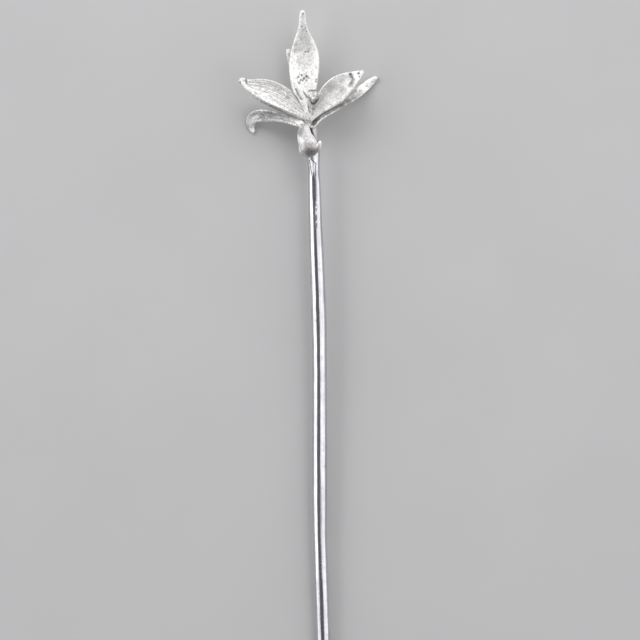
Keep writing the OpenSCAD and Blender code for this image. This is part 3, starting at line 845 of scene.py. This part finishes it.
antherCap = {
    "rows": [
        [0.40, 0.75, 6.80, 0.16, 0.16, 0.00,  0.00, 0.40],
        [0.50, 1.40, 7.15, 0.30, 0.30, 0.00, -0.05, 0.45],
        [0.60, 2.40, 7.60, 0.40, 0.40, 0.00, -0.10, 0.45],
        [0.75, 3.60, 8.05, 0.55, 0.55, 0.00,  0.00, 0.45],
        [0.92, 4.70, 8.20, 0.85, 0.85, 0.00,  0.05, 0.45],
        [1.05, 5.60, 8.45, 0.98, 0.98, 0.00,  0.10, 0.45],
        [1.08, 5.88, 8.85, 1.00, 1.00, 0.00,  0.15, 0.45],
        [1.00, 5.50, 9.18, 0.98, 0.98, 0.00,  0.25, 0.45],
        [0.86, 4.85, 9.30, 0.88, 0.86, 0.00,  0.32, 0.45],
        [0.70, 4.25, 9.25, 0.66, 0.62, 0.00,  0.28, 0.45],
        [0.58, 3.82, 9.12, 0.30, 0.28, 0.00,  0.12, 0.40]],
    "columns": 8, "curl": 80, "flatSize": 1.0, "flatDepth": 0.05,
    # the stroke paints the shadow round the tip of the curl
    "strokes": [
        (((-0.1, 4.75), (0.05, 4.0), (0.35, 3.52), (0.75, 3.42), (1.2, 3.68), (1.6, 4.25)), 0.36, 1.5)],
    "stainsAndPaintedLight": [
        (0.65, 2.3, 0.6, 0.25), (1.7, 5.0, 0.6, 0.5), (0.75, 5.65, 0.8, 0.55), (0.2, 5.5, 0.5, 0.45)]}

lip = {
    "rows": [
        [-0.90, -0.95, 5.90, 0.60, 0.55, 0.00, -0.05, 0.60],
        [-1.18, -1.75, 6.95, 1.08, 0.90, 0.00, -0.30, 0.65],
        [-1.34, -2.85, 8.35, 1.50, 1.18, 0.00, -0.90, 0.70],
        [-1.20, -3.90, 9.15, 1.82, 1.34, 0.00, -1.30, 0.70],
        [-0.85, -4.90, 9.55, 2.10, 1.54, 0.00, -1.45, 0.70],
        [-0.50, -5.70, 9.45, 2.15, 1.88, 0.00, -1.45, 0.70],
        [-0.18, -6.40, 9.05, 2.05, 2.05, 0.00, -1.30, 0.70],
        [-0.10, -7.05, 8.35, 1.65, 1.68, 0.00, -1.00, 0.65],
        [-0.02, -7.55, 7.60, 1.15, 1.15, 0.00, -0.60, 0.60],
        [ 0.05, -7.85, 6.95, 0.55, 0.55, 0.00, -0.20, 0.50]],
    "columns": 14,
    "drawn": [  # x, y, push, reach
        (1.7, -6.15, (0.7, 0.22, 0.35), 1.25), (2.3, -5.9, (0.0, 0.62, 0.35), 1.2),
        (2.4, -5.2, (-0.1, 0.55, 0.35), 0.68)],
    # the strokes are painted highlights on the ridge by the slit, on the upper left and on the horn; the
    # stains paint shade on the lower bowl, where it turns down, and the shadow of the left sepal at the top
    # left
    "strokes": [
        (((-0.7, -1.9), (-0.1, -2.7), (0.6, -4.2)), 0.9, -0.8), (((-2.7, -3.8), (-1.8, -4.9)), 0.8, -0.8),
        (((2.3, -5.9), (2.28, -4.6)), 0.45, -1.0)],
    "stainsAndPaintedLight": [
        (0.2, -6.95, 1.6, 0.85), (-0.45, -7.1, 1.1, 0.7), (1.3, -6.5, 1.0, 0.55), (0.4, -5.9, 1.4, 0.35),
        (-2.2, -2.6, 1.2, 0.5), (-2.8, -3.2, 0.7, 0.35), (-1.3, -2.3, 0.6, 0.35), (-0.7, -4.3, 0.6, 0.3),
        (0.8, -5.5, 0.9, 0.3), (0.45, -6.9, 0.36, 1.2), (0.8, -6.75, 0.3, 1.1), (-0.3, -6.2, 0.3, 0.8)],
    "flatSize": 1.4, "flatDepth": 0.13}

leaves = [
    ("dorsalSepal", "dorsal_sepal", "frosted_silver", frosted, dorsalSepal),
    ("sepalLobe", "sepal_lobe", "frosted_silver", frosted, sepalLobe),
    ("leftPetal", "left_petal", "frosted_silver", brushed, leftPetal),
    ("rightPetal", "right_petal", "frosted_silver", faceted, rightPetal),
    ("leftSepal", "left_sepal", "satin_silver", satin, leftSepal),
    ("rightSepal", "right_sepal", "frosted_silver", mottled, rightSepal),
    ("column", "column", "satin_silver", pale, column),
    ("antherCap", "anther_cap", "satin_silver", satin, antherCap),
    ("lip", "lip", "satin_silver", scratched, lip)]
for seed, row in enumerate(leaves, 1):
    makeLeaf(*row, seed)
print("leaves formed")


# Rod, sleeve and stalk

rod = {
    "rows": [  # y, x, diameter
        [-7.2, 0.62, 2.84], [-7.9, 0.64, 2.84], [-8.6, 0.68, 2.70], [-9.3, 0.73, 2.60],
        [-10.0, 0.78, 2.52], [-10.8, 0.82, 2.50], [-11.8, 0.86, 2.56], [-13.5, 0.92, 2.66],
        [-17.0, 1.03, 2.80], [-23.0, 1.20, 2.95], [-30.0, 1.45, 3.14], [-38.0, 1.75, 3.24],
        [-43.0, 1.90, 3.30], [-50.0, 1.99, 3.20], [-60.0, 2.05, 3.15], [-71.0, 2.05, 3.24],
        [-82.0, 2.06, 3.22], [-87.0, 2.08, 3.08], [-90.5, 2.15, 2.96]],
    "diameter": 3.0, "length": 166, "taper": 18, "point": 1.7,
    "drift": 1.9, "rise": 1.7,  # slant of the run below these rows and slope of the whole rod, in degrees
    "sides": 48, "spacing": 1.0, "blend": 4, "taperRings": 12, "noseAngles": (20, 40, 60, 75, 85),
    "flats": 46, "flatDepth": (0.02, 0.055), "flatReach": (1.6, 3.4),
    # painted highlights: bright reflections below the sleeve, with one painted dark line beside them
    "paintedHighlight": [
        (((0.55, -8.6), (0.62, -11.0)), 0.42, -1.0), (((0.58, -10.8), (0.46, -12.3)), 0.22, -1.0),
        (((0.5, -7.0), (1.0, -8.6)), 0.6, -1.0), (((-0.08, -8.6), (0.17, -10.5), (0.5, -12.5)), 0.2, 0.9)],
    # painted dark reflection down the rod, with broader grey bands further down
    "shadow": [
        (((1.2, -10.6), (1.16, -12.2)), 0.24, 0.9), (((1.14, -11.7), (1.08, -13.0)), 0.38, 0.78),
        (((1.04, -13.0), (1.08, -14.0), (1.1, -17.3)), 0.62, 0.78),
        (((1.34, -18.2), (1.36, -23.2)), 0.34, 0.62),
        (((1.02, -17.0), (1.02, -22.0), (1.12, -27.2)), 0.36, 0.62),
        (((1.12, -27.2), (1.4, -32.6), (1.62, -37.5)), 0.34, 0.6),
        (((2.1, -76.0), (2.25, -84.0), (2.34, -91.0), (2.46, -100.0)), 0.52, 0.42),
        (((2.5, -99.0), (2.72, -104.0), (2.95, -113.0)), 0.38, 0.85),
        (((1.98, -93.5), (1.9, -96.5)), 0.24, 0.3), (((1.86, -96.2), (1.82, -99.5)), 0.4, 0.32),
        (((1.72, -99.2), (1.95, -104.0), (2.2, -113.0)), 0.55, 0.34)],
    "broadFlat": [(0.95, -13.4, 1.5, 0.05), (0.98, -14.8, 1.5, 0.06), (1.02, -16.2, 1.5, 0.05)],
    # painted glints in the nicks
    "highlight": [
        (1.36, -18.9, 0.26, -2.2), (1.38, -19.7, 0.26, -2.2), (1.36, -20.4, 0.22, -2.2),
        (1.38, -21.1, 0.22, -2.0), (1.38, -21.9, 0.22, -1.9), (1.4, -22.7, 0.2, -1.8)],
    "nicks": [
        (1.24, -18.9, 0.32, 0.06), (1.26, -19.7, 0.32, 0.06), (1.24, -20.4, 0.28, 0.05),
        (1.26, -21.1, 0.28, 0.05), (1.28, -21.9, 0.28, 0.05), (1.3, -22.7, 0.28, 0.05)]}

restY = flower["top"] - rod["length"] + rod["taper"]


def rodZ(y):
    rise = math.radians(rod["rise"])
    return rod["diameter"] / 2 / math.cos(rise) + math.tan(rise) * (y - restY)


# a round bar: one ring, extruded from place to place; each place is x, y, z, diameter
def drawBar(name, places, sides):
    x, y, z, size = places[0]
    bpy.ops.mesh.primitive_circle_add(vertices=sides, radius=size / 2, fill_type="NGON",
                                      location=(0, 0, 0), rotation=(math.pi / 2, 0, 0))
    obj = bpy.context.object
    obj.name = name
    bpy.ops.object.transform_apply()
    edit(obj)
    pickAll()
    move(x, y, z)
    for before, after in zip(places, places[1:]):
        step = [q - p for p, q in zip(before[:3], after[:3])]
        bpy.ops.mesh.extrude_region_move(TRANSFORM_OT_translate={"value": step})
        ratio = after[3] / before[3]
        stretch(ratio, ratio, ratio, after[:3])
    pickAll()
    bpy.ops.mesh.normals_make_consistent(inside=False)
    done()
    return obj


def rodPlaces():
    places = [(x, y, rodZ(y), size) for y, x, size in stationsOf(rod["rows"], 6)]
    x0, y0, z0, size0 = places[-1]
    drift = math.tan(math.radians(rod["drift"]))

    def ring(y, size):
        places.append((x0 - drift * (y - y0), y, rodZ(y), size))

    count = int((y0 - restY) / rod["spacing"])
    for k in range(1, count + 1):  # the plain run, whose first rings bring it to its diameter
        blend = min(k / rod["blend"], 1)
        ring(y0 + (restY - y0) * k / count, size0 + (rod["diameter"] - size0) * blend)
    nose = rod["point"] / 2
    run = rod["taper"] - nose
    for k in range(1, rod["taperRings"] + 1):
        share = k / rod["taperRings"]
        ring(restY - run * share, rod["diameter"] + (rod["point"] - rod["diameter"]) * share)
    tip = flower["top"] - rod["length"]
    for angle in map(math.radians, rod["noseAngles"]):
        ring(tip + nose - nose * math.sin(angle), rod["point"] * math.cos(angle))
    return places


# light blows of a planishing hammer along the rod
def hammer(obj, blows):
    random.seed(11)
    points = obj.data.vertices
    for _ in range(blows["flats"]):
        index = random.randrange(len(points))
        depth = random.uniform(*blows["flatDepth"])
        reach = random.uniform(*blows["flatReach"])
        pull(obj, index, -points[index].normal * depth, reach)


# the seam where the sleeve's slanted end meets the rod: dark flux left in a fine line
seam = {
    "x": 0.43, "y": -8.68, "slope": 0.85, "corner": 1.24, "width": 0.09,
    "line": [(-0.43, -7.8), (0.13, -8.42), (0.97, -9.1), (1.27, -9.4), (1.22, -10.0), (1.16, -10.7)]}


def darkenSeam(obj, strength):
    layer = obj.data.attributes["paintedLightAndStain"]
    for vert in obj.data.vertices:
        away = awayFrom(vert.co.x, vert.co.y, seam["line"]) / seam["width"]
        if away < 1 and vert.co.z > rodZ(vert.co.y):
            layer.data[vert.index].value = strength * (1 - away ** 4)


pinShaft = drawBar("pinShaft", rodPlaces(), rod["sides"])
hammer(pinShaft, rod)
smoothOut(pinShaft, 1)
punch(pinShaft, rod["broadFlat"] + rod["nicks"])
paintedLightAndStain(pinShaft, rod["highlight"], rod["paintedHighlight"] + rod["shadow"])
darkenSeam(pinShaft, 1.0)
seat(pinShaft, "pin_shaft", polished)

sleeve = {
    "places": [  # x, y, diameter
        (0.58, -6.1, 3.10), (0.60, -6.9, 3.12), (0.62, -7.7, 3.04), (0.68, -8.6, 2.86),
        (0.73, -9.3, 2.72), (0.78, -10.0, 2.61), (0.82, -10.6, 2.54), (0.83, -11.0, 2.42)],
    "wall": 0.12, "sides": 64, "weld": 0.015, "flatSize": 1.2, "flatDepth": 0.03}


def makeSheath():
    places = [(x, y, rodZ(y), size) for x, y, size in stationsOf(sleeve["places"], 6)]
    obj = drawBar("sheath", places, sleeve["sides"])
    edit(obj)
    for centre, across in (((seam["x"], seam["y"], 0), (seam["slope"], 1, 0)),
                           ((seam["corner"], 0, 0), (1, 0, 0))):
        pickAll()
        bpy.ops.mesh.bisect(plane_co=centre, plane_no=across)
    bpy.ops.mesh.select_mode(type="FACE")
    mesh = bmesh.from_edit_mesh(obj.data)
    for face in mesh.faces:
        x, y, z = face.calc_center_median()
        below = y < seam["y"] - seam["slope"] * (x - seam["x"]) and x < seam["corner"]
        end = abs(face.normal.y) > 0.9
        face.select = below or end
    bmesh.update_edit_mesh(obj.data)
    bpy.ops.mesh.delete(type="FACE")
    bpy.ops.mesh.select_mode(type="VERT")
    pickAll()
    bpy.ops.mesh.remove_doubles(threshold=sleeve["weld"])
    bpy.ops.mesh.normals_make_consistent(inside=False)
    done()
    planish(obj, sleeve["flatSize"], sleeve["flatDepth"], 12)
    finish(obj, "SOLIDIFY", thickness=sleeve["wall"], offset=-1, use_even_offset=True)
    smoothOut(obj, 1)
    paintedLightAndStain(obj, [], rod["paintedHighlight"])
    darkenSeam(obj, 0.9)
    seat(obj, "sheath", polished)


makeSheath()

stalk = {
    "rows": [  # x, y, z, diameter
        [0.66, -7.6, 4.95, 2.20], [0.64, -5.4, 4.80, 2.10], [0.56, -3.4, 4.45, 2.00],
        [0.42, -1.5, 4.20, 2.20], [0.20, 0.1, 4.10, 1.80], [0.15, 0.9, 4.30, 0.90]],
    # the solder that runs between the roots: x, y, z, half sizes along x, y, z, turn in degrees
    "solder": [
        (-0.2, 0.05, 4.9, 1.15, 1.1, 1.45, 0), (-0.8, 0.95, 6.6, 1.0, 0.72, 0.38, 140),
        (0.85, 0.95, 6.6, 1.0, 0.74, 0.38, 50), (-0.1, 0.8, 6.75, 0.8, 0.85, 0.42, 0),
        (-0.8, 1.8, 7.0, 0.4, 0.9, 0.35, 15), (0.45, 1.75, 6.95, 0.42, 0.95, 0.35, 0),
        (-0.15, 1.5, 6.4, 0.85, 1.4, 0.6, 0), (0.02, 2.5, 6.74, 0.56, 1.45, 0.54, 0),
        (-0.95, -0.55, 6.1, 0.85, 0.6, 0.48, 0), (-0.42, -0.4, 6.1, 0.65, 0.85, 0.52, 0),
        (-0.65, -1.2, 6.0, 0.65, 0.65, 0.55, 0), (-0.85, -0.2, 6.3, 0.7, 0.4, 0.45, 0),
        (0.0, -0.15, 6.3, 0.6, 0.45, 0.45, 0)],
    "dents": [(-0.67, 1.38, 0.3, 0.25)],
    # the stroke paints the shade in the slit under the lip's edge; the stains below zero are painted
    # highlights on the solder
    "stainsAndPaintedLight": [
        (-0.67, 1.38, 0.3, 0.95), (-0.5, -0.5, 0.9, 0.35), (0.0, 2.2, 0.7, -0.9), (0.0, 3.2, 0.7, -0.9)],
    "strokes": [(((-0.25, -1.7), (0.1, -2.2), (0.6, -3.5), (1.35, -5.0)), 0.62, 1.5)],
    "voxel": 0.085, "sides": 32, "unevenness": [(1.3, 0.10, 14), (0.4, 0.03, 15)]}  # size, depth, seed


# the flower's stalk, and the flooded solder at its head that the leaves meet in
def makeStalk():
    bar = drawBar("pedicel", stationsOf(stalk["rows"], 3), stalk["sides"])
    drops = []
    for x, y, z, wide, long, high, angle in stalk["solder"]:
        bpy.ops.mesh.primitive_uv_sphere_add(segments=24, ring_count=12, location=(x, y, z),
                                             scale=(wide, long, high), rotation=(0, 0, math.radians(angle)))
        bpy.ops.object.transform_apply()
        drops.append(bpy.context.object)
    choose(bar)
    for drop in drops:
        drop.select_set(True)
    bpy.ops.object.join()
    finish(bar, "REMESH", mode="VOXEL", voxel_size=stalk["voxel"], adaptivity=0.0)
    finish(bar, "SMOOTH", factor=0.5, iterations=10)
    for size, depth, seed in stalk["unevenness"]:
        planish(bar, size, depth, seed)
    punch(bar, stalk["dents"])
    paintedLightAndStain(bar, stalk["stainsAndPaintedLight"], stalk["strokes"])
    seat(bar, "pedicel", soldered)


makeStalk()
print("rod, sleeve and stalk drawn")
findHollows()


# Floor, light and camera

studio = {
    "floor": (0.42, 0.42, 0.425), "floorRadius": 3.0, "world": 0.12, "aim": (0, 0.03, 0),
    # name, angle from straight up towards +X, tip towards +Y, angular width, distance, length, radiance
    "panels": [
        ("rightPanel", 54, 8, 82, 0.70, 1.3, 1.34), ("leftPanel", -67, 8, 58, 0.80, 1.3, 1.80),
        ("topPanel", -12, 45, 90, 0.70, 0.5, 3.95)]}


def makeStudio():
    bpy.ops.mesh.primitive_circle_add(vertices=96, radius=studio["floorRadius"], fill_type="NGON",
                                      location=(0, 0, 0))
    floor = bpy.context.object
    floor.name = "floor"
    paint, tree, shader, where = newMaterial("paleFloor")
    mottle = span(tree, noiseOn(tree, where, 30.0, 3.0, 0.55), 0.3, 0.7)
    tone = studio["floor"]
    colour = mixColour(tree, mottle, tone, tuple(1.03 * part for part in tone))
    tree.links.new(colour, shader["Base Color"])
    shader["Roughness"].default_value = 0.85
    floor.data.materials.append(paint)
    world = bpy.data.worlds.new("studioWorld")
    scene.world = world
    world.use_nodes = True
    grey = studio["world"]
    world.node_tree.nodes["Background"].inputs["Color"].default_value = (grey, grey, grey * 1.04, 1)
    for name, angle, tip, width, distance, length, radiance in studio["panels"]:
        lamp = bpy.data.lights.new(name, "AREA")
        lamp.shape = "RECTANGLE"
        lamp.size = 2 * distance * math.tan(math.radians(width / 2))
        lamp.size_y = length
        lamp.energy = radiance * math.pi * lamp.size * lamp.size_y
        panel = bpy.data.objects.new(name, lamp)
        scene.collection.objects.link(panel)
        lean = math.radians(angle)
        away = Vector((math.sin(lean), math.tan(math.radians(tip)), math.cos(lean)))
        panel.location = Vector(studio["aim"]) + away * distance
        back = away.normalized()
        side = Vector((0, 1, 0)).cross(back).normalized()
        panel.rotation_euler = Matrix((side, back.cross(side), back)).transposed().to_euler()
    scene.view_settings.view_transform = "Standard"


# a photo pixel in mm, the frame and the flower's centre in pixels, distance and near in m, the rest in mm
view = {"pixel": 0.215, "frame": 640, "flowerX": 310, "flowerY": 120,
        "distance": 1.5, "lift": 5.5, "sensor": 36, "near": 0.01}


def makeCamera():
    lens = bpy.data.cameras.new("camera")
    camera = bpy.data.objects.new("camera", lens)
    scene.collection.objects.link(camera)
    middle = view["frame"] / 2
    x = flower["x"] + (middle - view["flowerX"]) * view["pixel"]
    y = flower["y"] - (middle - view["flowerY"]) * view["pixel"]
    camera.location = (x * mm, y * mm, view["distance"] + view["lift"] * mm)
    lens.sensor_width = view["sensor"]
    lens.lens = view["sensor"] * view["distance"] / (view["frame"] * view["pixel"] * mm)
    lens.clip_start = view["near"]
    scene.camera = camera


makeStudio()
makeCamera()
print("studio set")
